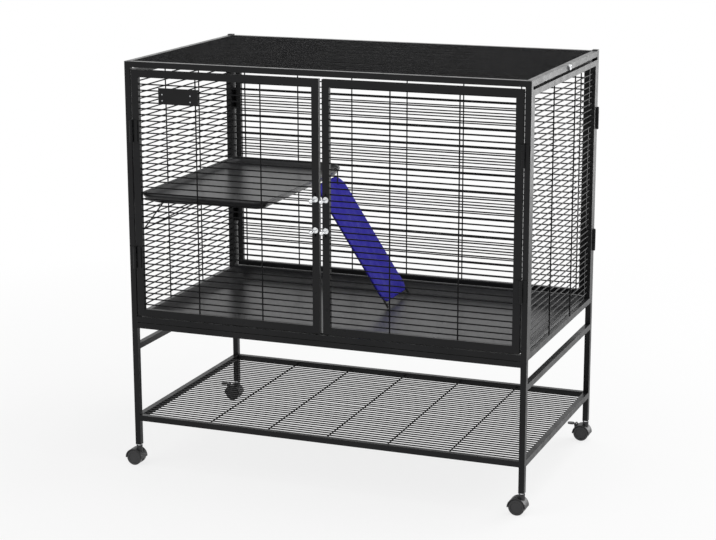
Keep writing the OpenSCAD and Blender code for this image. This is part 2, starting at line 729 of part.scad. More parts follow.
module left_stand_frame() stand_frame(-1);
module right_stand_frame() stand_frame(1);
module stand_front_rail() cross_rail(-post_y, stand_h - tube - rail_gap);
module stand_rear_rail() cross_rail(post_y, stand_h - tube - rail_gap);
module shelf_front_rail() cross_rail(-post_y, shelf_z);
module shelf_rear_rail() cross_rail(post_y, shelf_z);
module left_side_frame() side_frame(-1);
module right_side_frame() side_frame(1);
module left_side_mesh() side_mesh(-1);
module right_side_mesh() side_mesh(1);
module rear_base_rail() cross_rail(post_y, stand_h);
module back_hinge_leaves() placed() color(black) at_rear_hinges() rear_panel_leaf();
module rear_post_leaves() placed() color(black) at_rear_hinges() rear_post_leaf();
module rear_hinge_pins() placed() color(black) at_rear_hinges() rear_pin();
module front_post_leaves() placed() color(black) at_hinges([-1, 1]) post_leaf();
module front_hinge_pins() placed() color(black) at_hinges([-1, 1]) hinge_pin();
module left_door_frame() door_frame(-1);
module right_door_frame() door_frame(1);
module left_door_mesh() door_mesh(-1);
module right_door_mesh() door_mesh(1);
module left_door_leaves() placed() color(black) at_hinges([-1]) door_leaf();
module right_door_leaves() placed() color(black) at_hinges([1]) door_leaf();

left_stand_frame();
right_stand_frame();
stand_front_rail();
stand_rear_rail();
shelf_front_rail();
shelf_rear_rail();
shelf_mesh();
leg_sleeves();
caster_stems();
left_side_frame();
right_side_frame();
left_side_mesh();
right_side_mesh();
front_base_rail();
rear_base_rail();
roof_rails();
roof_mesh();
roof_bolts();
roof_nuts();
post_caps();
back_frame();
back_mesh();
back_hinge_leaves();
rear_post_leaves();
rear_hinge_pins();
front_post_leaves();
front_hinge_pins();
pan();
platform();
platform_brackets();
left_door_frame();
left_door_mesh();
left_door_leaves();
name_plate();
plate_clips();
right_door_frame();
right_door_mesh();
right_door_leaves();
latch_rod(-1, true);  // left_upper_rod
latch_knob(-1, true);  // left_upper_knob
latch_rod(-1, false);  // left_lower_rod
latch_knob(-1, false);  // left_lower_knob
latch_rod(1, true);  // right_upper_rod
latch_knob(1, true);  // right_upper_knob
latch_rod(1, false);  // right_lower_rod
latch_knob(1, false);  // right_lower_knob
ramp_frame();
ramp_cover();
ramp_feet();
at_caster(-1, -1) hood();  // caster_fl_hood
at_caster(-1, -1) wheel_pair();  // caster_fl_wheels
at_caster(1, -1) hood();  // caster_fr_hood
at_caster(1, -1) wheel_pair();  // caster_fr_wheels
at_caster(-1, 1) hood(brake = true);  // caster_rl_hood
at_caster(-1, 1) wheel_pair();  // caster_rl_wheels
at_caster(-1, 1) brake_lever();  // caster_rl_brake
at_caster(1, 1) hood(brake = true);  // caster_rr_hood
at_caster(1, 1) wheel_pair();  // caster_rr_wheels
at_caster(1, 1) brake_lever();  // caster_rr_brake
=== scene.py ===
"""Looks for a ferret cage on a wheeled stand: coated tube and wire, moulded trays, plated
bolts, a sewn ramp cover and a plain studio. Sizes are millimetres in the cage's own frame
unless a docstring says otherwise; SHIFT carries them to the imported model's frame."""

import json
import logging
import math
from dataclasses import dataclass
from enum import Enum

import bpy
import numpy as np
from mathutils import Euler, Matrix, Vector


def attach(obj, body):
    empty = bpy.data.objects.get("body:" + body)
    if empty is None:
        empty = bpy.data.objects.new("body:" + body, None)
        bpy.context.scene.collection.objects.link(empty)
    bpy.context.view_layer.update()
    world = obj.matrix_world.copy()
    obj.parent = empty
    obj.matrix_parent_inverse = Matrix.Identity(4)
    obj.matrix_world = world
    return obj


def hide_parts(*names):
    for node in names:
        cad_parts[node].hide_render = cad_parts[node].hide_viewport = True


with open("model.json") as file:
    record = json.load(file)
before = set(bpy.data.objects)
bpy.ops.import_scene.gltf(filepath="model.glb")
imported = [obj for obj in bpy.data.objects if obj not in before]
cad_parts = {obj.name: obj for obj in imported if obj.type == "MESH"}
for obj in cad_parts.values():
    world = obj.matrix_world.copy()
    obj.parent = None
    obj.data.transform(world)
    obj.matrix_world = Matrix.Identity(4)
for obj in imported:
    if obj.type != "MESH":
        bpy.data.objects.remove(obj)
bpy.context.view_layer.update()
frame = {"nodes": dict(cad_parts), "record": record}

log = logging.getLogger("ferret_cage")
Array = np.ndarray
Span = tuple[float, float]
Triple = tuple[float, float, float]
Socket = bpy.types.NodeSocket
Material = bpy.types.Material
Piece = bpy.types.Object
SHIFT = np.array([15.5, 10.775, 0.0])
MM = 0.001
WHITE = (1.0, 1.0, 1.0, 1.0)
DARK_WIRES = ("ramp_frame", "platform_brackets")


class Slot(str, Enum):
    """The record's material slots."""

    COAT = "black_steel"
    CHROME = "chrome"
    ZINC = "zinc_steel"
    TRAY = "tray_plastic"
    MOULDING = "black_plastic"
    WHEEL = "wheel_plastic"
    CLOTH = "blue_fabric"
    RUBBER = "rubber"


@dataclass
class Cage:
    """The driving dimensions of part.scad that pieces here share, and what follows."""

    width: float = 914.0
    depth: float = 540.0
    height: float = 918.0
    tube: float = 12.7
    stand: float = 335.7
    rail_gap: float = 1.2
    shelf: float = 105.0
    side_rail: float = 271.0
    side_drop: float = 19.4
    door_tube: float = 16.0
    door_deep: float = 10.0
    door_gap: float = 7.6
    post_gap: float = 3.3
    sill_gap: float = 2.6
    head_gap: float = 5.0
    back_gap: float = 4.8

    def __post_init__(self) -> None:
        """Works out the posts' inner faces, the walls' middle planes, the level tubes'
        undersides and the inner edges of the side, door and back frames."""
        self.in_x, self.in_y = self.width / 2 - self.tube, self.depth / 2 - self.tube
        self.wall_x = self.width / 2 - self.tube / 2
        self.stile_y = self.in_y - self.tube
        self.base = self.stand + self.tube
        self.roof = self.height - self.tube
        self.side_top = self.roof - self.side_drop
        sill, head = self.base + self.sill_gap, self.roof - self.head_gap
        door_out = self.in_x - self.post_gap
        self.door_x = (self.door_gap / 2 + self.door_tube, door_out - self.door_tube)
        self.door_y = (self.depth / 2, self.depth / 2 - self.door_deep)
        self.door_z = (sill + self.door_tube, head - self.door_tube)
        self.back_x = self.in_x - self.back_gap - self.tube
        self.back_z = (sill + self.tube, head - self.tube)


CAGE = Cage()


# ---- finishes


class Tree:
    """A node tree, put together node by node."""

    def __init__(self, tree: bpy.types.NodeTree) -> None:
        """Takes over a tree."""
        self.tree = tree

    def add(self, kind: str, feeds: dict | None = None, **traits: object) -> bpy.types.Node:
        """Adds a node.

        Args:
            kind: the node's type without its ShaderNode prefix.
            feeds: socket name or number to a value, or to the output that feeds it.
            traits: the node's own settings.

        Returns:
            The new node.
        """
        made = self.tree.nodes.new(f"ShaderNode{kind}")
        for trait, value in traits.items():
            setattr(made, trait, value)
        for socket, value in (feeds or {}).items():
            self.feed(made, socket, value)
        return made

    def feed(self, node: bpy.types.Node, socket: str | int, value: object) -> None:
        """Sets a socket to a value, or links an output to it.

        Args:
            node, socket: the node, and the socket's name or number.
            value: the value or output.
        """
        if isinstance(value, Socket):
            self.tree.links.new(value, node.inputs[socket])
        else:
            node.inputs[socket].default_value = value

    def math(self, operation: str, first: object, second: object = 0.0) -> Socket:
        """The result of a Math node on two numbers or outputs."""
        return self.add("Math", {0: first, 1: second}, operation=operation).outputs[0]

    def spread(self, amount: object, low: float, high: float, start: float = 0.3,
               end: float = 0.7) -> Socket:
        """Turns an amount that goes from start to end into a number from low to high."""
        return self.add("MapRange", {"Value": amount, "From Min": start, "From Max": end,
                                     "To Min": low, "To Max": high}).outputs["Result"]


class Shader(Tree):
    """A material's node tree round its Principled shader."""

    def __init__(self, name: str) -> None:
        """Starts a material.

        Args:
            name: the material's name.
        """
        self.material = bpy.data.materials.new(name)
        self.material.use_nodes = True
        super().__init__(self.material.node_tree)
        self.surface = self.tree.nodes["Principled BSDF"]

    def set(self, **values: object) -> None:
        """Sets or links the Principled shader's sockets; underscores stand for spaces."""
        for socket, value in values.items():
            self.feed(self.surface, socket.replace("_", " "), value)

    def place(self) -> Socket:
        """Object coordinates, in metres."""
        return self.add("TexCoord").outputs["Object"]

    def facing(self) -> Socket:
        """The surface's own normal."""
        return self.add("NewGeometry").outputs["Normal"]

    def noise(self, scale: float, detail: float = 2.0, where: object = None) -> Socket:
        """Noise from 0 to 1 with scale lumps to the metre, at where or by the place."""
        return self.add("TexNoise", {"Vector": where or self.place(), "Scale": scale,
                                     "Detail": detail}).outputs["Fac"]

    def blend(self, amount: object, first: object, second: object) -> Socket:
        """Goes from one colour to another.

        Args:
            amount: 0 for the first colour to 1 for the second.
            first, second: colours, or outputs that give them.

        Returns:
            The mixed colour.
        """
        ends = [c if isinstance(c, Socket) else (*c, 1.0) for c in (first, second)]
        made = self.add("Mix", {0: amount, 6: ends[0], 7: ends[1]}, data_type="RGBA")
        return made.outputs[2]

    def relief(self, height: object, strength: float, depth: float,
               over: Socket | None = None) -> Socket:
        """Turns a height into a normal.

        Args:
            height: the height, from 0 to 1.
            strength: how much of the relief shows.
            depth: its full depth in metres.
            over: the normal that it is laid on.

        Returns:
            The normal.
        """
        made = self.add("Bump", {"Height": height, "Strength": strength, "Distance": depth})
        if over is not None:
            self.feed(made, "Normal", over)
        return made.outputs["Normal"]


@dataclass(frozen=True)
class PowderCoat:
    """Satin black powder coat: faint orange peel, edges paler in places as wear and painted
    highlight, and a paler colour up on the roof, from just under its top in metres."""

    colour: Triple = (0.0075, 0.0076, 0.0082)
    faded: Triple = (0.0125, 0.0126, 0.0132)
    # Paler colour where the roof faces up.
    roof_top_colour: Triple = (0.1, 0.1, 0.1)
    # Paler edge colour: worn coat, and a painted highlight of the rounded edges.
    edge_wear_and_highlight: Triple = (0.03, 0.03, 0.031)
    smooth: float = 0.26
    rough: float = 0.4
    edge: float = 0.0011
    roof: Span = (0.912, 0.917)

    def material(self) -> Material:
        """Builds the coat: the roof colour lies where the surface faces up and stands high
        enough, and the edge colour, part wear and part painted highlight, shows where the
        rounded normal leaves the true one.

        Returns:
            The material.
        """
        s = Shader("powder_coat")
        rounded = s.add("Bevel", {"Radius": self.edge}, samples=4).outputs["Normal"]
        up = s.add("SeparateXYZ", {0: s.facing()}).outputs["Z"]
        high = s.add("SeparateXYZ", {0: s.place()}).outputs["Z"]
        # Share of the paler roof colour: where the surface faces up and stands near the roof's top.
        faces_up_high = s.math("MULTIPLY", s.spread(up, 0.0, 1.0, 0.7, 0.95),
                         s.spread(high, 0.0, 1.0, *self.roof))
        roof_top_share = s.math("MULTIPLY", faces_up_high, s.spread(s.noise(45.0, 4.0), 0.55, 1.0))
        # Painted highlight and wear on the edges: paler in noisy patches where the rounded normal
        # leaves the true one.
        agree = s.add("VectorMath", {0: rounded, 1: s.facing()}, operation="DOT_PRODUCT")
        edge_wear_and_highlight_mask = s.math("MULTIPLY", s.spread(agree.outputs["Value"], 1.0, 0.0, 0.8, 0.97),
                        s.spread(s.noise(30.0, 5.0), 0.15, 1.0, 0.4, 0.65))
        coat = s.blend(s.spread(s.noise(7.0, 3.0), 0.0, 1.0), self.colour, self.faded)
        s.set(Base_Color=s.blend(roof_top_share, s.blend(edge_wear_and_highlight_mask, coat, self.edge_wear_and_highlight), self.roof_top_colour),
              Roughness=s.spread(s.noise(38.0, 3.0), self.smooth, self.rough),
              Specular_IOR_Level=0.16,
              Normal=s.relief(s.noise(620.0, 1.0), 0.22, 0.0002, rounded))
        return s.material


@dataclass(frozen=True)
class CoatedWire:
    """The same coat on thin wire and welds, a little darker and smoother."""

    colour: Triple = (0.005, 0.005, 0.0054)
    faded: Triple = (0.009, 0.009, 0.0096)

    def material(self) -> Material:
        """Builds the wire's coat.

        Returns:
            The material.
        """
        s = Shader("coated_wire")
        s.set(Base_Color=s.blend(s.spread(s.noise(22.0), 0.0, 1.0), self.colour, self.faded),
              Roughness=s.spread(s.noise(90.0), 0.28, 0.42),
              Specular_IOR_Level=0.06,
              Normal=s.relief(s.noise(900.0, 1.0), 0.2, 0.00015))
        return s.material


@dataclass(frozen=True)
class Plated:
    """Plated steel, with fine drawn scratches and a faint haze."""

    name: str
    colour: Triple
    hazed: Triple
    smooth: float
    rough: float

    def material(self) -> Material:
        """Builds the plating, its scratches drawn out along the upright axis.

        Returns:
            The material.
        """
        s = Shader(self.name)
        along = s.add("Mapping", {"Vector": s.place(), "Scale": (900.0, 900.0, 60.0)})
        scratch = s.noise(1.0, 2.0, along.outputs["Vector"])
        s.set(Metallic=1.0,
              Base_Color=s.blend(s.spread(s.noise(160.0), 0.0, 1.0), self.colour, self.hazed),
              Roughness=s.spread(scratch, self.smooth, self.rough),
              Normal=s.relief(scratch, 0.06, 0.00005))
        return s.material


@dataclass(frozen=True)
class Moulded:
    """Moulded plastic with a fine spark-eroded grain and patchy gloss."""

    name: str
    colour: Triple
    faded: Triple
    smooth: float
    rough: float
    grain: float = 1500.0
    depth: float = 0.00012
    gloss: float = 0.5
    relief: float = 0.25

    def material(self) -> Material:
        """Builds the plastic.

        Returns:
            The material.
        """
        s = Shader(self.name)
        s.set(Base_Color=s.blend(s.spread(s.noise(9.0, 3.0), 0.0, 1.0), self.colour, self.faded),
              Roughness=s.spread(s.noise(26.0, 4.0), self.smooth, self.rough),
              Specular_IOR_Level=self.gloss,
              Normal=s.relief(s.noise(self.grain, 1.0), self.relief, self.depth))
        return s.material


@dataclass(frozen=True)
class WovenCloth:
    """Blue-violet plain weave with slubs and a soft sheen. Its UV map counts metres on the
    flat cut, and thread is the way from one thread to the next."""

    colour: Triple = (0.0115, 0.008, 0.26)
    light: Triple = (0.023, 0.0165, 0.38)
    sheen: Triple = (0.12, 0.1, 0.8)
    thread: float = 0.00055

    def material(self, name: str = "woven_cloth", shade: float = 1.0) -> Material:
        """Builds the cloth: the weave is how far the product of two sines, one along each
        set of threads, lies from nought.

        Args:
            name: the material's name.
            shade: what both colours are multiplied by.

        Returns:
            The material.
        """
        s = Shader(name)
        dark, light = (tuple(c * shade for c in tone) for tone in (self.colour, self.light))
        flat = s.add("UVMap", uv_map="cut").outputs["UV"]
        axes = s.add("SeparateXYZ", {0: flat}).outputs
        weft, warp = (s.math("SINE", s.math("MULTIPLY", axes[k], math.pi / self.thread))
                      for k in ("X", "Y"))
        weave = s.math("ABSOLUTE", s.math("MULTIPLY", weft, warp))
        slub = s.noise(260.0, 3.0, flat)
        mixed = s.math("ADD", s.spread(weave, 0.0, 0.55, 0.0, 1.0), s.spread(slub, 0.0, 0.45))
        s.set(Base_Color=s.blend(mixed, dark, light),
              Roughness=s.spread(s.noise(14.0, 3.0, flat), 0.62, 0.8),
              Specular_IOR_Level=0.16, Sheen_Weight=0.15, Sheen_Roughness=0.4,
              Sheen_Tint=(*self.sheen, 1.0),
              Normal=s.relief(weave, 0.35, 0.00018, s.relief(slub, 0.2, 0.0002)))
        return s.material


# ---- mesh helpers


def put_mesh(name: str, points: Array, *faces: Array, smooth: bool = True) -> Piece:
    """Puts points and faces into a mesh object at the origin.

    Args:
        name: the piece's name.
        points: corners in millimetres in the cage's frame, any shape ending in 3.
        faces: arrays of corner numbers, one row a face, rows of one array equally long.
        smooth: whether the faces are shaded smooth.

    Returns:
        The new object.
    """
    mesh = bpy.data.meshes.new(name)
    place = (points.reshape(-1, 3) + SHIFT) * MM
    loops = np.concatenate([f.ravel() for f in faces]).astype(np.int32)
    totals = np.concatenate([np.full(len(f), f.shape[1]) for f in faces])
    mesh.vertices.add(len(place))
    mesh.vertices.foreach_set("co", place.astype(np.float32).ravel())
    mesh.loops.add(len(loops))
    mesh.loops.foreach_set("vertex_index", loops)
    mesh.polygons.add(len(totals))
    mesh.polygons.foreach_set("loop_start", (np.cumsum(totals) - totals).astype(np.int32))
    mesh.update(calc_edges=True)
    mesh.validate()
    mesh.polygons.foreach_set("use_smooth", np.full(len(mesh.polygons), smooth))
    made = bpy.data.objects.new(name, mesh)
    bpy.context.scene.collection.objects.link(made)
    return made


def grid_faces(rows: int, columns: int) -> Array:
    """Quads between rows of corners that each close on themselves. A quad runs along its
    row first, so rows turning left round the way that they go face outwards.

    Args:
        rows, columns: rows of the grid and corners of a row, numbered row by row.

    Returns:
        Corner numbers, four to a quad.
    """
    r, c = np.meshgrid(np.arange(rows - 1), np.arange(columns), indexing="ij")
    d = (c + 1) % columns
    quads = [r * columns + c, r * columns + d, (r + 1) * columns + d, (r + 1) * columns + c]
    return np.stack(quads, axis=-1).reshape(-1, 4)


def tube_faces(count: int, rings: int, sides: int, base: int = 0) -> tuple[Array, Array]:
    """Faces of closed tubes, their corners numbered tube by tube and ring by ring.

    Args:
        count: how many tubes.
        rings, sides: rings of a tube and corners of a ring.
        base: the first corner's number.

    Returns:
        The quads of all walls, and the lids at both ends of all tubes.
    """
    starts = (np.arange(count) * rings * sides + base)[:, None, None]
    lid = np.arange(sides)
    lids = np.stack([lid[::-1], lid + (rings - 1) * sides])
    return ((grid_faces(rings, sides)[None] + starts).reshape(-1, 4),
            (lids[None] + starts).reshape(-1, sides))


def circles(side: Array, lift: Array, sides: int, start: float = 0.0) -> Array:
    """Unit circles: side times a turn's cosine plus lift times its sine.

    Args:
        side, lift: unit vectors at right angles, one row a circle.
        sides: corners of a circle.
        start: the first corner's turn, in radians.

    Returns:
        Points in the shape (circles, sides, 3).
    """
    turn = (np.linspace(0, 2 * np.pi, sides, endpoint=False) + start)[:, None]
    return np.cos(turn) * side[:, None] + np.sin(turn) * lift[:, None]


def unit(rows: Array) -> Array:
    """The rows, each divided by its length."""
    return rows / np.linalg.norm(rows, axis=1)[:, None]


def finish_piece(piece: Piece, material: Material, slot: Slot, body: str,
                 *nodes: str) -> Piece:
    """Dresses a piece, sets it on its body and has it stand for its CAD nodes.

    Args:
        piece: the object, in place.
        material: its finish.
        slot: the record's slot that the finish belongs to; not used.
        body: the body it rides on.
        nodes: the CAD nodes it stands for.

    Returns:
        The piece.
    """
    piece.data.materials.clear()
    piece.data.materials.append(material)
    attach(piece, body)
    if nodes:
        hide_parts(*nodes)
    log.info("%s rides on %s, %d faces", piece.name, body, len(piece.data.polygons))
    return piece


# ---- welded wire


@dataclass
class WirePanel:
    """A welded panel: long wires along one axis, cross wires along another, sunk into them
    where they are welded."""

    name: str
    body: str
    long_starts: Array
    long_ends: Array
    cross_starts: Array
    cross_ends: Array
    seed: int
    wire: float = 3.0
    sides: int = 8
    flare: Span = (1.45, 1.12)
    flare_at: Span = (0.9, 2.2)
    bend: float = 0.12
    bead: float = 2.1
    bead_deep: float = 0.9
    bead_sides: int = 7

    def wires(self, starts: Array, ends: Array, rng: np.random.Generator) -> Array:
        """Rings of all wires of one direction: a circle of the wire's radius carried along
        each chord, wider near both ends where the weld flares it, and pushed sideways by a
        half wave whose height is drawn with a spread of bend.

        Args:
            starts, ends: one row a wire.
            rng: the panel's generator.

        Returns:
            Points in the shape (wires, rings, sides, 3).
        """
        length = np.linalg.norm(ends - starts, axis=1)[:, None]
        way = unit(ends - starts)
        side = unit(np.cross(way, np.where(np.abs(way[:, 2:]) > 0.9, [[1.0, 0, 0]],
                                           [[0, 0, 1.0]])))
        lift = np.cross(way, side)
        near, far = self.flare_at
        marks = np.hstack([0 * length, 0 * length + near, 0 * length + far, length / 2,
                           length - far, length - near, length])
        swell = np.array([*self.flare, 1.0, 1.0, 1.0, *self.flare[::-1]])[:, None, None]
        ring = circles(side, lift, self.sides, np.pi / self.sides)[:, None]
        bow = rng.normal(0, self.bend, (len(starts), 1)) * np.sin(np.pi * marks / length)
        middle = (starts[:, None] + marks[..., None] * way[:, None]
                  + bow[..., None] * lift[:, None])
        return middle[:, :, None] + self.wire / 2 * swell * ring

    def nuggets(self, rng: np.random.Generator) -> Array:
        """Weld spots: a flat ball between two crossing wires, its points the centre plus the
        ball's unit points times bead, or times bead_deep across the panel.

        Args:
            rng: the panel's generator.

        Returns:
            Points in the shape (spots, rings, sides, 3).
        """
        long_way = np.abs(self.long_ends - self.long_starts)[0]
        cross_way = np.abs(self.cross_ends - self.cross_starts)[0]
        deep = np.argmin(long_way + cross_way)
        centre = (self.long_starts[:, None] * (long_way < 1)
                  + self.cross_starts[None] * (long_way > 1))
        centre[..., deep] = (self.long_starts[:, None, deep] + self.cross_starts[None, :, deep]) / 2
        centre = centre.reshape(-1, 3)
        tilt = np.radians([8.0, 52.0, 90.0, 128.0, 172.0])[:, None]
        turn = np.linspace(0, 2 * np.pi, self.bead_sides, endpoint=False)
        ball = np.stack([np.sin(tilt) * np.cos(turn), np.sin(tilt) * np.sin(turn),
                         np.cos(tilt) + 0 * turn], axis=-1)
        size = np.full(3, self.bead)
        size[deep] = self.bead_deep
        grown = rng.uniform(0.85, 1.12, (len(centre), 1, 1, 1))
        return centre[:, None, None] + grown * size * np.roll(ball, deep - 2, axis=-1)

    def build(self, material: Material) -> Piece:
        """Makes the panel as one piece that stands for its CAD node.

        Args:
            material: its finish.

        Returns:
            The piece.
        """
        rng = np.random.default_rng(self.seed)
        blocks, faces, base = [], [], 0
        for rings in (self.wires(self.long_starts, self.long_ends, rng),
                      self.wires(self.cross_starts, self.cross_ends, rng), self.nuggets(rng)):
            faces += tube_faces(*rings.shape[:3], base)
            blocks.append(rings.reshape(-1, 3))
            base += len(blocks[-1])
        piece = put_mesh(self.name + "_wires", np.concatenate(blocks), *faces)
        return finish_piece(piece, material, Slot.COAT, self.body, self.name)


@dataclass
class WireWork:
    """All seven welded panels."""

    pitch: float = 13.3
    rows: int = 38
    first_rise: float = 10.0
    roof_rows: int = 39
    roof_drop: float = 2.0
    shelf_pitch: float = 14.3
    shelf_rows: int = 34
    shelf_rise: float = 8.0
    cross_pitch: float = 141.0
    back_cross_pitch: float = 139.4
    side_cross_pitch: float = 170.0
    door_cross: Span = (-69.4, 82.3)
    weld: float = 2.2
    let_in: float = 0.4

    @staticmethod
    def spaced(count: int, pitch: float) -> Array:
        """That many places, a pitch apart and even about nought."""
        return pitch * (np.arange(count) - (count - 1) / 2)

    def flat(self, name: str, body: str, long_axis: int, levels: Array, level_axis: int,
             long_span: Span, depth: float, behind: float, across: Array,
             across_span: Span, seed: int) -> WirePanel:
        """Lays out a panel.

        Args:
            name, body: its CAD node and its body.
            long_axis, level_axis: the axes, 0 to 2, that long and cross wires run along.
            levels, across: places of the long wires, and of the cross wires.
            long_span, across_span: both ends of the long wires, and of the cross wires.
            depth: the long wires' place on the third axis.
            behind: the cross wires' place there, from the long wires.
            seed: for the small differences between wires.

        Returns:
            The panel.
        """
        ends = []
        for axis, span, other, places, deep in (
                (long_axis, long_span, level_axis, levels, depth),
                (level_axis, across_span, long_axis, across, depth + behind)):
            for end in (span[0] - self.let_in, span[1] + self.let_in):
                p = np.full((len(places), 3), deep)
                p[:, axis], p[:, other] = end, places
                ends.append(p)
        return WirePanel(name, body, *ends, seed=seed)

    def build(self, material: Material) -> None:
        """Makes every panel.

        Args:
            material: the wire's finish.
        """
        c = CAGE
        levels = c.door_z[0] + self.first_rise + self.pitch * np.arange(-1, self.rows)
        wide, deep = (-c.in_x, c.in_x), (-c.in_y, c.in_y)
        door_y = sum(c.door_y) / 2
        fives = self.spaced(5, self.cross_pitch)
        panels = [
            self.flat("back_mesh", "cage", 0, levels[1:], 2, (-c.back_x, c.back_x), door_y,
                      self.weld, self.spaced(7, self.back_cross_pitch), c.back_z, 2),
            self.flat("roof_mesh", "cage", 0, self.spaced(self.roof_rows, self.pitch), 1, wide,
                      c.height - self.roof_drop, -self.weld, fives, deep, 3),
            self.flat("shelf_mesh", "cage", 0, self.spaced(self.shelf_rows, self.shelf_pitch), 1,
                      wide, c.shelf + self.shelf_rise, -self.weld, fives, deep, 4)]
        for side, name in ((-1, "left"), (1, "right")):
            middle, half = side * sum(c.door_x) / 2, (c.door_x[1] - c.door_x[0]) / 2
            panels.append(self.flat(f"{name}_door_mesh", f"{name}_door", 0, levels[1:], 2,
                                    (middle - half, middle + half), -door_y, self.weld,
                                    middle + np.array(self.door_cross), c.door_z, 5 + side))
            panels.append(self.flat(f"{name}_side_mesh", "cage", 1, levels, 2,
                                    (-c.stile_y, c.stile_y), side * c.wall_x, side * self.weld,
                                    self.spaced(2, self.side_cross_pitch),
                                    (c.base, c.side_top), 9 + side))
        for panel in panels:
            panel.build(material)


@dataclass
class WeldBeads:
    """Coated weld beads in the inner corners where the tubes meet, one piece a body."""

    radius: float = 1.15
    ripple: float = 0.12
    rings: int = 15
    sides: int = 7

    @staticmethod
    def lines(x: tuple, y: tuple, z: tuple) -> Array:
        """Beads at every mix of places.

        Args:
            x, y, z: places on each axis; a pair among them is both ends of a run.

        Returns:
            Starts and ends in the shape (beads, 2, 3).
        """
        rows = [(a, b, c) for a in x for b in y for c in z]
        return np.array([[[v[k] if isinstance(v, tuple) else v for v in row] for k in (0, 1)]
                         for row in rows], float)

    def cage(self) -> Array:
        """Beads of the stand, the cage body and the back panel.

        Returns:
            Starts and ends in the shape (beads, 2, 3).
        """
        c = CAGE
        deep, wide = (c.in_y, c.depth / 2), (c.in_x, c.width / 2)
        both_deep, both_wide = ((s, tuple(-v for v in s)) for s in (deep, wide))
        shelf = (c.shelf, c.shelf + c.tube)
        cross = (*shelf, c.stand - c.rail_gap - c.tube, c.base, c.roof)
        along = (*shelf, c.side_rail, c.side_rail + c.tube, c.stand, c.side_top + c.tube, c.roof)
        return np.concatenate([
            self.lines((-c.in_x, c.in_x), both_deep, cross),
            self.lines(both_wide, (-c.in_y, c.in_y), along),
            self.lines(both_wide, (-c.stile_y, c.stile_y), (c.base, c.side_top)),
            self.lines((-c.back_x, c.back_x), (c.door_y[::-1],), c.back_z)])

    def door(self, side: int) -> Array:
        """Beads of one door's corners, on side -1 or 1."""
        front = tuple(-y for y in CAGE.door_y)
        return self.lines(tuple(side * x for x in CAGE.door_x), (front,), CAGE.door_z)

    def build(self, name: str, body: str, ends: Array, material: Material) -> Piece:
        """Makes a body's beads: each a circle carried along its line, its radius swelling by
        the ripple's share five times and falling off as a half circle near both ends.

        Args:
            name, body: the piece's name and its body.
            ends: starts and ends in the shape (beads, 2, 3).
            material: its finish.

        Returns:
            The piece.
        """
        rng = np.random.default_rng(len(ends))
        share = (1 - np.cos(np.linspace(0, np.pi, self.rings))) / 2
        out = np.clip(np.minimum(share, 1 - share) / 0.12, 0.15, 1)
        phase = rng.uniform(0, 2 * np.pi, (len(ends), 1))
        grown = (self.radius * np.sqrt(1 - (1 - out) ** 2)
                 * (1 + self.ripple * np.sin(10 * np.pi * share + phase)))
        run = ends[:, 1] - ends[:, 0]
        up = np.tile([0.0, 0.0, 1.0], (len(ends), 1))
        ring = circles(up, np.cross(unit(run), up), self.sides)
        middle = ends[:, :1] + share[:, None] * run[:, None]
        points = middle[:, :, None] + grown[..., None, None] * ring[:, None]
        piece = put_mesh(name, points, *tube_faces(len(ends), self.rings, self.sides))
        return finish_piece(piece, material, Slot.COAT, body)

    def build_all(self, material: Material) -> None:
        """Makes the beads of the cage and of both doors.

        Args:
            material: their finish.
        """
        self.build("cage_weld_beads", "cage", self.cage(), material)
        for side, name in ((-1, "left_door"), (1, "right_door")):
            self.build(name + "_weld_beads", name, self.door(side), material)


# ---- moulded trays


@dataclass
class MouldedTray:
    """A tray as a profile carried round a rectangle with rounded corners, each profile row
    an inset, a height and what the corner radius gains there, from the floor's top over
    the rim to the floor's underside."""

    name: str
    x: Span
    y: Span
    radii: tuple[float, float, float, float]
    profile: list[Triple]
    steps: int = 14

    def ring(self, inset: float, height: float, wider: float) -> Array:
        """One ring: each corner is an arc of its radius plus wider minus inset, round a
        centre that lies its radius plus wider inside both edges.

        Args:
            inset: distance inside the tray's edge.
            height: the ring's height.
            wider: what the corner radius gains at this ring.

        Returns:
            Points, anticlockwise seen from above, from the front left corner.
        """
        turn = np.linspace(0, np.pi / 2, self.steps)
        arcs = []
        for k, radius in enumerate(self.radii):
            r = radius + wider
            cx = self.x[0] + r if k in (0, 3) else self.x[1] - r
            cy = self.y[0] + r if k in (0, 1) else self.y[1] - r
            a = turn + np.pi + k * np.pi / 2
            arcs.append(np.stack([cx + (r - inset) * np.cos(a), cy + (r - inset) * np.sin(a),
                                  np.full(self.steps, height)], axis=-1))
        return np.concatenate(arcs)

    def floor(self, ring: Array) -> Array:
        """Closes a floor: rings from a first one inwards, each drawn in to a share of it.

        Args:
            ring: the first ring.

        Returns:
            The rings, outermost first.
        """
        out = np.array([0.94, 0.8, 0.6, 0.4, 0.2, 0.02])[:, None, None]
        middle = np.array([sum(self.x) / 2, sum(self.y) / 2, ring[0, 2]])
        return middle + out * (ring - middle)

    def build(self, material: Material) -> Piece:
        """Makes the tray.

        Args:
            material: its finish.

        Returns:
            The piece.
        """
        rings = np.stack([self.ring(*row) for row in self.profile])
        rings = np.concatenate([self.floor(rings[0])[::-1], rings, self.floor(rings[-1])])
        piece = put_mesh(self.name + "_moulding", rings, *tube_faces(1, *rings.shape[:2]))
        return finish_piece(piece, material, Slot.TRAY, "cage", self.name)


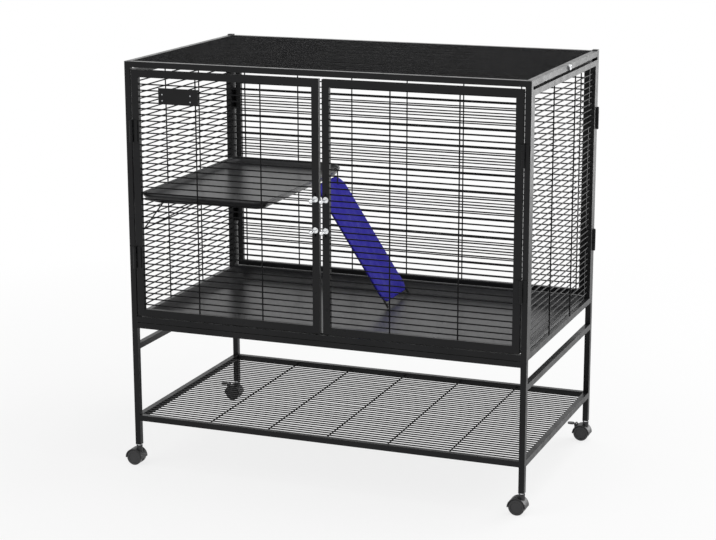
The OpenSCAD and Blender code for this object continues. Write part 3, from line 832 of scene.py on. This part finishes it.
def round_profile(points: list[Triple], radii: list[float], steps: int = 4) -> list[Triple]:
    """Rounds a tray's profile: each corner point becomes a quadratic curve between the two
    points that lie its radius from the corner along both legs.

    Args:
        points: rows of inset, height and gain of corner radius.
        radii: one a point, 0 at both ends.
        steps: pieces of each curve.

    Returns:
        The rounded profile.
    """
    p = np.array(points, float)
    rounded = [p[:1]]
    share = np.linspace(0, 1, steps + 1)[:, None]
    for before, corner, after, radius in zip(p, p[1:], p[2:], radii[1:-1]):
        back, on = before - corner, after - corner
        a = corner + back * min(0.5, radius / max(np.hypot(*back[:2]), 1e-6))
        b = corner + on * min(0.5, radius / max(np.hypot(*on[:2]), 1e-6))
        rounded.append((1 - share) ** 2 * a + 2 * share * (1 - share) * corner + share**2 * b)
    return [tuple(row) for row in np.concatenate([*rounded, p[-1:]])]


@dataclass
class Trays:
    """The floor pan and the platform."""

    wall: float = 2.5
    corner: float = 28.0
    pan_half: Span = (447.5, 259.5)
    pan_floor: float = 330.0
    pan_flange: float = 2.0
    pan_wider: float = 14.0
    platform_x: Span = (-443.0, -139.0)
    platform_y: Span = (-252.0, 250.0)
    platform_floor: float = 609.5
    platform_rim: Triple = (10.3, 12.9, 15.5)
    platform_cut: float = 75.0

    def pan(self) -> MouldedTray:
        """The pan: sloping walls with wide corners under a flat flange on the base rails.

        Returns:
            The tray.
        """
        floor, rest, wide = self.pan_floor, CAGE.base, self.pan_wider
        top = rest + self.pan_flange
        shape = [(33.4, floor, wide), (6.0, rest + 0.2, wide), (5.8, top, wide), (0, top, 0),
                 (0, rest, 0), (4.0, rest, wide), (34.0, floor - self.wall, wide)]
        x, y = ((-half, half) for half in self.pan_half)
        return MouldedTray("pan", x, y, (self.corner,) * 4,
                           round_profile(shape, [0, 1.6, 1.2, 0.8, 0.8, 1.0, 0]))

    def platform(self) -> MouldedTray:
        """The platform: a shallow tray with a rolled rim, whose neck, middle and top are
        platform_rim above the floor, and one rear corner cut rounder.

        Returns:
            The tray.
        """
        floor = self.platform_floor
        neck, waist, top = (floor + rise for rise in self.platform_rim)
        shape = [(14.5, floor, 0), (4.6, neck, 0), (5.2, waist, 0), (3.4, top, 0),
                 (1.6, top, 0), (0, waist, 0), (1.5, neck, 0), (12.0, floor - self.wall, 0)]
        return MouldedTray("platform", self.platform_x, self.platform_y,
                           (self.corner, self.corner, self.platform_cut, self.corner),
                           round_profile(shape, [0, 1.0, 1.2, 0.8, 0.8, 1.2, 1.0, 0]))


# ---- ramp cover


@dataclass
class RampCover:
    """A cloth sleeve over the wire ladder, sewn round its edge and hemmed at both ends."""

    top: Span = (-148.0, 604.5)
    slope: float = math.radians(57.0)
    length: float = 312.0
    y: Span = (58.0, 208.0)
    head: float = 35.0
    toe: float = 22.0
    first_rung: float = 41.2
    rung_step: float = 26.5
    cloth: float = 0.9
    rise: float = 2.75
    edge: float = 2.8
    welt_radius: float = 1.6
    hook_ys: Span = (98.0, 168.0)
    hook_exit: float = 15.9
    eyelet: Span = (4.4, 2.6)
    eyelet_radius: float = 0.65
    stitch: Span = (2.5, 3.4)
    stitch_inset: float = 4.0
    thread: float = 0.28
    across: int = 56
    edge_steps: int = 6
    along: int = 220

    def __post_init__(self) -> None:
        """Works out the sleeve's middle line and half its width."""
        self.middle, self.half = sum(self.y) / 2, (self.y[1] - self.y[0]) / 2

    def half_width(self, s: Array) -> Array:
        """Half the sleeve's width: the straight edge, drawn in by a quarter circle at the
        head and at the toe.

        Args:
            s: distances down the slope.

        Returns:
            Half widths.
        """
        head = np.clip(self.head - s, 0, self.head)
        toe = np.clip(s - (self.length - self.toe), 0, self.toe)
        return (self.half - (self.head - np.sqrt(self.head**2 - head**2))
                - (self.toe - np.sqrt(self.toe**2 - toe**2)))

    def on_slope(self, s: Array, y: Array, n: Array) -> Array:
        """Cage coordinates of places on the slope.

        Args:
            s, y, n: distances down it, places across it and heights off it.

        Returns:
            Points, one for each entry.
        """
        sine, cosine = math.sin(self.slope), math.cos(self.slope)
        return np.stack([self.top[0] + s * cosine + n * sine, y,
                         self.top[1] - s * sine + n * cosine], axis=-1)

    def loft(self, s: Array, share: Array, upper: Array) -> Array:
        """Height of the cloth off the slope's plane: over the side wires it is highest, it
        dips between them and lies on the rungs, with slack folds that run from the head's
        corners and fade down the slope.

        Args:
            s: distance down the slope.
            share: place across, from -1 to 1.
            upper: 1 on the upper layer and -1 on the lower one.

        Returns:
            Heights in millimetres.
        """
        turns = 2 * np.pi
        rung = 0.5 + 0.5 * np.cos(turns * (s - self.first_rung) / self.rung_step)
        dip = (1 - share**2) ** 0.7
        sunk = dip * (0.35 + 0.5 * (1 - rung**1.5)) * np.where(upper > 0, 1.0, -0.6)
        at_head, at_toe = np.exp(-s / 90.0), np.exp(-(self.length - s) / 60.0)
        folds = (0.7 * np.sin(turns * (s * 0.021 + share * 1.3))
                 * np.sin(turns * (s * 0.0062 - share * 0.7) + 0.8)
                 + 0.4 * np.sin(turns * (s * 0.055 - share * 0.9) + 1.1) * at_head
                 + 0.3 * np.sin(turns * (s * 0.05 + share * 0.8)) * at_toe)
        return upper * (self.rise - sunk + dip * folds)

    def section(self) -> tuple[Array, Array, Array]:
        """One section, going round the sleeve.

        Returns:
            Places across from -1 to 1, a share of the edge's half round, and the layer.
        """
        x = np.linspace(-1, 1, self.across)
        turn = np.linspace(0, np.pi, self.edge_steps + 2)[1:-1]
        share = np.hstack([x, 0 * turn + 1, x[::-1], 0 * turn - 1])
        edge = np.hstack([0 * x, np.sin(turn), 0 * x, np.sin(turn)])
        layer = np.hstack([0 * x + 1, np.cos(turn), 0 * x - 1, -np.cos(turn)])
        return share, edge, layer

    def sleeve(self) -> Piece:
        """The cloth's outer face: a closed section carried down the slope, with its flat
        cut as a UV map in metres.

        Returns:
            The piece.
        """
        s = self.length * (1 - np.cos(np.linspace(0, np.pi, self.along))) / 2
        s = (0.5 * s + 0.5 * np.linspace(0, self.length, self.along))[:, None]
        share, edge, layer = self.section()
        y = (self.middle + share * (self.half_width(s) - self.edge)
             + self.edge * np.sign(share) * edge)
        n = np.where(edge > 0, self.rise * layer, self.loft(s, share[None], layer[None]))
        quads = grid_faces(self.along, len(share))[:, ::-1]
        piece = put_mesh("ramp_sleeve", self.on_slope(s + 0 * y, y, n), quads)
        steps = np.abs(np.diff(share)) * self.half + 0.9 * (edge[1:] > 0)
        run = np.append(0, np.cumsum(steps))
        self.set_cut(piece, run[None] * MM, s * MM)
        return piece

    @staticmethod
    def set_cut(piece: Piece, u: Array, v: Array) -> None:
        """Writes the flat cut's coordinates as the UV map named cut.

        Args:
            piece: the piece.
            u, v: metres, that spread out to one entry a corner.
        """
        loops = np.zeros(len(piece.data.loops), np.int32)
        piece.data.loops.foreach_get("vertex_index", loops)
        cut = np.stack(np.broadcast_arrays(u, v), axis=-1).reshape(-1, 2)
        layer = piece.data.uv_layers.new(name="cut")
        layer.data.foreach_set("uv", cut[loops].astype(np.float32).ravel())

    def cord_round(self, name: str, path: Array, radius: float, sides: int = 8) -> Piece:
        """A thin round welt: a circle carried along a path, in the plane across it.

        Args:
            name: the piece's name.
            path: points, one a row.
            radius: the welt's radius.
            sides: corners of the circle.

        Returns:
            The piece.
        """
        way = unit(np.gradient(path, axis=0))
        side = unit(np.cross(way, [math.sin(self.slope), 0.0, math.cos(self.slope)]))
        ring = path[:, None] + radius * circles(side, np.cross(way, side), sides)
        piece = put_mesh(name, ring, *tube_faces(1, len(path), sides))
        run = np.append(0, np.cumsum(np.linalg.norm(np.diff(path, axis=0), axis=1)))
        turn = np.linspace(0, 2 * np.pi, sides, endpoint=False)
        self.set_cut(piece, turn[None] * radius * MM, run[:, None] * MM)
        return piece

    def welt(self) -> Piece:
        """The welt sewn round the whole edge, in cloth darkened as painted shade of the turned
        edge: a cord down the front edge, across the toe, up the rear edge and across the head.

        Returns:
            The piece.
        """
        s = 0.5 + (self.length - 1.0) * (1 - np.cos(np.linspace(0, np.pi, 150))) / 2
        half = self.half_width(s) - 0.4
        cross = np.linspace(-1, 1, 22)[1:-1]
        run = np.hstack([s, 0 * cross + s[-1], s[::-1], 0 * cross + s[0], s[:1]])
        y = np.hstack([-half, cross * half[-1], half[::-1], -cross * half[0], -half[:1]])
        return self.cord_round("ramp_welt", self.on_slope(run, self.middle + y, 0 * run),
                               self.welt_radius)

    def eyelets(self) -> list[Piece]:
        """Sewn rims of the two slots that let the hooks out: an oval carried round each
        hook, in the plane of the slope, where the hook leaves the upper layer.

        Returns:
            Both pieces.
        """
        turn = np.linspace(0, 2 * np.pi, 40)
        down, wide = self.eyelet
        made = []
        for y, name in zip(self.hook_ys, ("front", "rear")):
            path = self.on_slope(self.hook_exit + down * np.cos(turn), y + wide * np.sin(turn),
                                 0 * turn + 2.3)
            made.append(self.cord_round(f"ramp_eyelet_{name}", path, self.eyelet_radius))
        return made

    def stitches(self) -> Piece:
        """Lockstitches inside both long edges, on both layers: short threads that dip into
        the cloth at both ends, their height half a sine.

        Returns:
            The piece.
        """
        length, step = self.stitch
        s = np.arange(self.head + 2, self.length - self.toe - 2, step)
        share = np.linspace(0, 1, 5)[:, None]
        turn = np.linspace(0, 2 * np.pi, 5, endpoint=False)
        wide = self.thread * np.sin(np.pi * (0.12 + 0.76 * share))
        at = s[:, None, None] + length * share + 0 * turn
        rows = []
        for edge in (self.y[0] + self.stitch_inset, self.y[1] - self.stitch_inset):
            for layer in (1, -1):
                n = layer * (2.66 + 0.22 * np.sin(np.pi * share) + wide * np.sin(turn))
                points = self.on_slope(at, edge + wide * np.cos(turn) + 0 * at, n + 0 * at)
                rows.append(points[:, :, ::layer])
        points = np.concatenate(rows)
        walls, lids = tube_faces(len(points), 5, 5)
        piece = put_mesh("ramp_stitches", points, walls[:, ::-1], lids[:, ::-1])
        self.set_cut(piece, points[..., 2] * MM, points[..., 2] * MM)
        return piece

    def build(self, cloth: Material, binding_painted_shade: Material, thread: Material) -> None:
        """Makes the sleeve and its sewn welt, eyelets and stitches.

        Args:
            cloth, binding, thread: finishes of sleeve, welt and eyelets, and stitches; the welt
            and eyelets' finish is the cloth darkened as painted shade of the turned edges.
        """
        sleeve = self.sleeve()
        wall = sleeve.modifiers.new("cloth_thickness", "SOLIDIFY")
        wall.thickness, wall.offset = self.cloth * MM, -1.0
        finish_piece(sleeve, cloth, Slot.CLOTH, "ramp", "ramp_cover")
        # Welt and eyelets take the darkened cloth: painted shade along the sleeve's turned edges.
        sewn = [finish_piece(piece, binding_painted_shade, Slot.CLOTH, "ramp")
                for piece in (self.welt(), *self.eyelets())]
        sewn.append(finish_piece(self.stitches(), thread, Slot.CLOTH, "ramp"))


# ---- studio


@dataclass
class Studio:
    """Floor, lamps, world and camera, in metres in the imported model's frame. The floor is
    shaded near the cage and plain white beyond the ring called fade."""

    spot: Triple = (1.5224, -3.9136, 1.4385)
    yaw: float = 0.3712
    pitch: float = 0.235
    roll: float = -0.0021
    focal_px: float = 1909.4
    width_px: float = 716.0
    sensor: float = 36.0
    floor_half: float = 30.0
    floor_drop: float = 0.0002
    floor_tone: Triple = (0.86, 0.86, 0.86)
    fade: Span = (0.9, 2.2)
    sky_light: float = 0.55

    def camera(self) -> None:
        """The camera: its view turns left by yaw and down by pitch from looking along +Y."""
        data = bpy.data.cameras.new("camera")
        data.sensor_width = self.sensor
        data.lens = self.sensor * self.focal_px / self.width_px
        data.clip_end = 200.0
        eye = bpy.data.objects.new("camera", data)
        eye.location = self.spot
        eye.rotation_mode = "XYZ"
        turn = (Euler((math.pi / 2 - self.pitch, 0.0, self.yaw)).to_matrix()
                @ Euler((0.0, 0.0, self.roll)).to_matrix())
        eye.rotation_euler = turn.to_euler()
        bpy.context.scene.collection.objects.link(eye)
        bpy.context.scene.camera = eye

    def lamp(self, name: str, spot: Triple, aim: Triple, size: float, bright: float) -> None:
        """A square softbox. Its energy is four times its area times its brightness.

        Args:
            name: its name.
            spot, aim: where it stands and the point that it faces, in metres.
            size: its side in metres.
            bright: how many times white it is where it is mirrored.
        """
        data = bpy.data.lights.new(name, "AREA")
        data.size, data.energy = size, 4 * size * size * bright
        made = bpy.data.objects.new(name, data)
        made.location = spot
        way = Vector(aim) - Vector(spot)
        made.rotation_euler = way.to_track_quat("-Z", "Y").to_euler()
        made.visible_camera = False
        bpy.context.scene.collection.objects.link(made)

    def floor(self) -> None:
        """A white floor that keeps the shadow: matt white, for the camera mixed with plain
        white that takes over far from the cage."""
        h, z = self.floor_half / MM, -self.floor_drop / MM
        corners = np.array([[-h, -h, z], [h, -h, z], [h, h, z], [-h, h, z]])
        piece = put_mesh("floor", corners, np.array([[0, 1, 2, 3]]), smooth=False)
        s = Shader("floor_white")
        s.set(Base_Color=(*self.floor_tone, 1.0), Roughness=0.9, Specular_IOR_Level=0.1)
        path = s.add("LightPath").outputs
        seen = s.math("MAXIMUM", path["Is Camera Ray"], path["Is Glossy Ray"])
        away = s.add("VectorMath", {0: s.place()}, operation="LENGTH").outputs["Value"]
        amount = s.math("MULTIPLY", seen, s.spread(away, 0.8, 1.0, *self.fade))
        plain = s.add("Emission", {"Color": WHITE, "Strength": 1.0})
        mixed = s.add("MixShader", {0: amount, 1: s.surface.outputs[0], 2: plain.outputs[0]})
        s.feed(s.tree.nodes["Material Output"], "Surface", mixed.outputs[0])
        piece.data.materials.append(s.material)

    def world(self) -> None:
        """Plain white wherever it is seen, mirrored or looked through, and softer as light."""
        world = bpy.data.worlds.new("studio")
        bpy.context.scene.world = world
        world.use_nodes = True
        sky = Tree(world.node_tree)
        path = sky.add("LightPath").outputs
        seen = sky.math("MAXIMUM", path["Is Camera Ray"], path["Is Glossy Ray"])
        clear = sky.math("MAXIMUM", seen, path["Is Transmission Ray"])
        ground = sky.tree.nodes["Background"]
        sky.feed(ground, "Color", WHITE)
        sky.feed(ground, "Strength", sky.spread(clear, self.sky_light, 1.0, 0.0, 1.0))

    def build(self) -> None:
        """Sets up the whole studio."""
        bpy.context.scene.view_settings.view_transform = "Standard"
        self.camera()
        self.floor()
        self.world()
        self.lamp("key", (1.9, 2.3, 0.85), (0.3, 0.0, 0.5), 1.6, 3.2)
        self.lamp("top", (0.9, 0.3, 2.9), (0.0, 0.0, 0.6), 1.8, 2.6)
        self.lamp("fill", (-2.2, -2.8, 2.6), (0.0, 0.0, 0.5), 2.5, 1.2)


# ---- the whole cage


class Finishes:
    """One material a slot, and the few that only some wires and sewn edges use."""

    def __init__(self) -> None:
        """Makes every material."""
        finishes = {
            Slot.COAT: PowderCoat(),
            Slot.CHROME: Plated("bright_chrome", (0.86, 0.87, 0.88), (0.7, 0.71, 0.72),
                                0.05, 0.16),
            Slot.ZINC: Plated("dull_zinc", (0.42, 0.43, 0.44), (0.3, 0.31, 0.32), 0.3, 0.5),
            Slot.TRAY: Moulded("tray_plastic", (0.027, 0.0275, 0.029), (0.031, 0.0315, 0.033),
                               0.28, 0.32, depth=0.00005, gloss=0.34, relief=0.1),
            Slot.MOULDING: Moulded("black_moulding", (0.012, 0.012, 0.013),
                                   (0.02, 0.02, 0.021), 0.38, 0.52),
            Slot.WHEEL: Moulded("wheel_plastic", (0.014, 0.014, 0.015), (0.024, 0.024, 0.025),
                                0.3, 0.46, grain=1100.0),
            Slot.CLOTH: WovenCloth(),
            Slot.RUBBER: Moulded("soft_rubber", (0.012,) * 3, (0.024, 0.023, 0.022),
                                 0.62, 0.8, gloss=0.25),
        }
        self.by_slot = {slot: finish.material() for slot, finish in finishes.items()}
        self.wire = CoatedWire().material()
        self.dark_wire = Plated("dark_plated_wire", (0.05, 0.05, 0.053), (0.028, 0.028, 0.03),
                                0.3, 0.44).material()
        # The cloth at 0.4 of its colours, for welt and eyelets: painted shade of the sleeve's
        # turned edges.
        self.binding_painted_shade = WovenCloth().material("cloth_binding_painted_shade", 0.4)
        self.thread = WovenCloth().material("sewing_thread", 2.2)

    def dress_cad(self) -> None:
        """Gives every CAD node the material of its slot in the record, but the ramp frame and the
        platform brackets the dark plated wire.
        """
        slots = {row["node"]: Slot(row["material_slot"])
                 for row in frame["record"]["subparts"]}
        for name, node in frame["nodes"].items():
            node.data.materials.clear()
            node.data.materials.append(self.dark_wire if name in DARK_WIRES
                                       else self.by_slot[slots[name]])
        log.info("%d CAD nodes are dressed", len(slots))


def main() -> None:
    """Builds the pieces in order."""
    logging.basicConfig(level=logging.INFO, format="%(message)s")
    finishes = Finishes()
    finishes.dress_cad()
    WireWork().build(finishes.wire)
    WeldBeads().build_all(finishes.wire)
    for tray in (Trays().pan(), Trays().platform()):
        tray.build(finishes.by_slot[Slot.TRAY])
    RampCover().build(finishes.by_slot[Slot.CLOTH], finishes.binding_painted_shade, finishes.thread)
    Studio().build()


if __name__ == "__main__":
    main()
